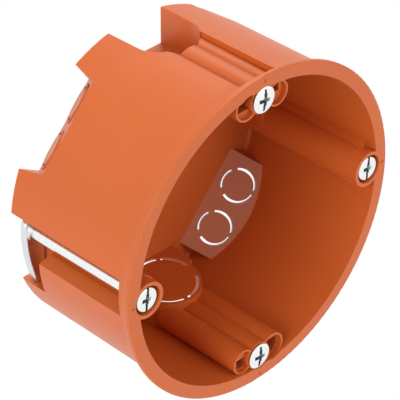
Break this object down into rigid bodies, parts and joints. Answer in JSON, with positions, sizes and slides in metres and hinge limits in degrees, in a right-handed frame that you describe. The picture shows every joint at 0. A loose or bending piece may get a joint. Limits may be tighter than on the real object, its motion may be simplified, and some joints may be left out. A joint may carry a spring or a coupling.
{
  "type": "hollow wall back box",
  "caption": "Round shallow flanged back box for hollow walls, with device screws, two clamp screws with swing-out claws, and ring knockouts for cables.",
  "frame": {"origin": "centre of the flange's front plane, on the barrel's axis", "axes": "+Y along the barrel's axis from the open mouth to the floor, +Z along the line through the two device screws, +X to the right for a person who faces the mouth"},
  "size_m": [0.0708, 0.0347, 0.0708],
  "materials": {
    "orange_plastic": "fine satin moulded polypropylene",
    "screw_steel": "bright zinc plated",
    "claw_steel": "zinc plated"
  },
  "bodies": {
    "housing": {"housing": "orange_plastic"},
    "device_screw_top": {"device_screw_top": "screw_steel"},
    "device_screw_bottom": {"device_screw_bottom": "screw_steel"},
    "clamp_screw_left": {"clamp_screw_left": "screw_steel"},
    "clamp_screw_right": {"clamp_screw_right": "screw_steel"},
    "claw_left": {"claw_left": "claw_steel"},
    "claw_right": {"claw_right": "claw_steel"}
  },
  "joints": [
    {"name": "clamp_left_turn", "type": "hinge", "parent": "housing", "child": "clamp_screw_left", "pos_m": [-0.03034, 0, 0], "axis": [0, 1, 0], "range_deg": [0, 90]},
    {"name": "claw_left_draw", "type": "slide", "parent": "clamp_screw_left", "child": "claw_left", "axis": [0, -1, 0], "range_m": [0, 0.003]},
    {"name": "clamp_right_turn", "type": "hinge", "parent": "housing", "child": "clamp_screw_right", "pos_m": [0.03034, 0, 0], "axis": [0, 1, 0], "range_deg": [0, 90]},
    {"name": "claw_right_draw", "type": "slide", "parent": "clamp_screw_right", "child": "claw_right", "axis": [0, -1, 0], "range_m": [0, 0.003]},
    {"name": "device_screw_top_turn", "type": "hinge", "parent": "housing", "child": "device_screw_top", "pos_m": [0, 0, 0.03], "axis": [0, 1, 0], "continuous": true},
    {"name": "device_screw_bottom_turn", "type": "hinge", "parent": "housing", "child": "device_screw_bottom", "pos_m": [0, 0, -0.03], "axis": [0, 1, 0], "continuous": true}
  ]
}
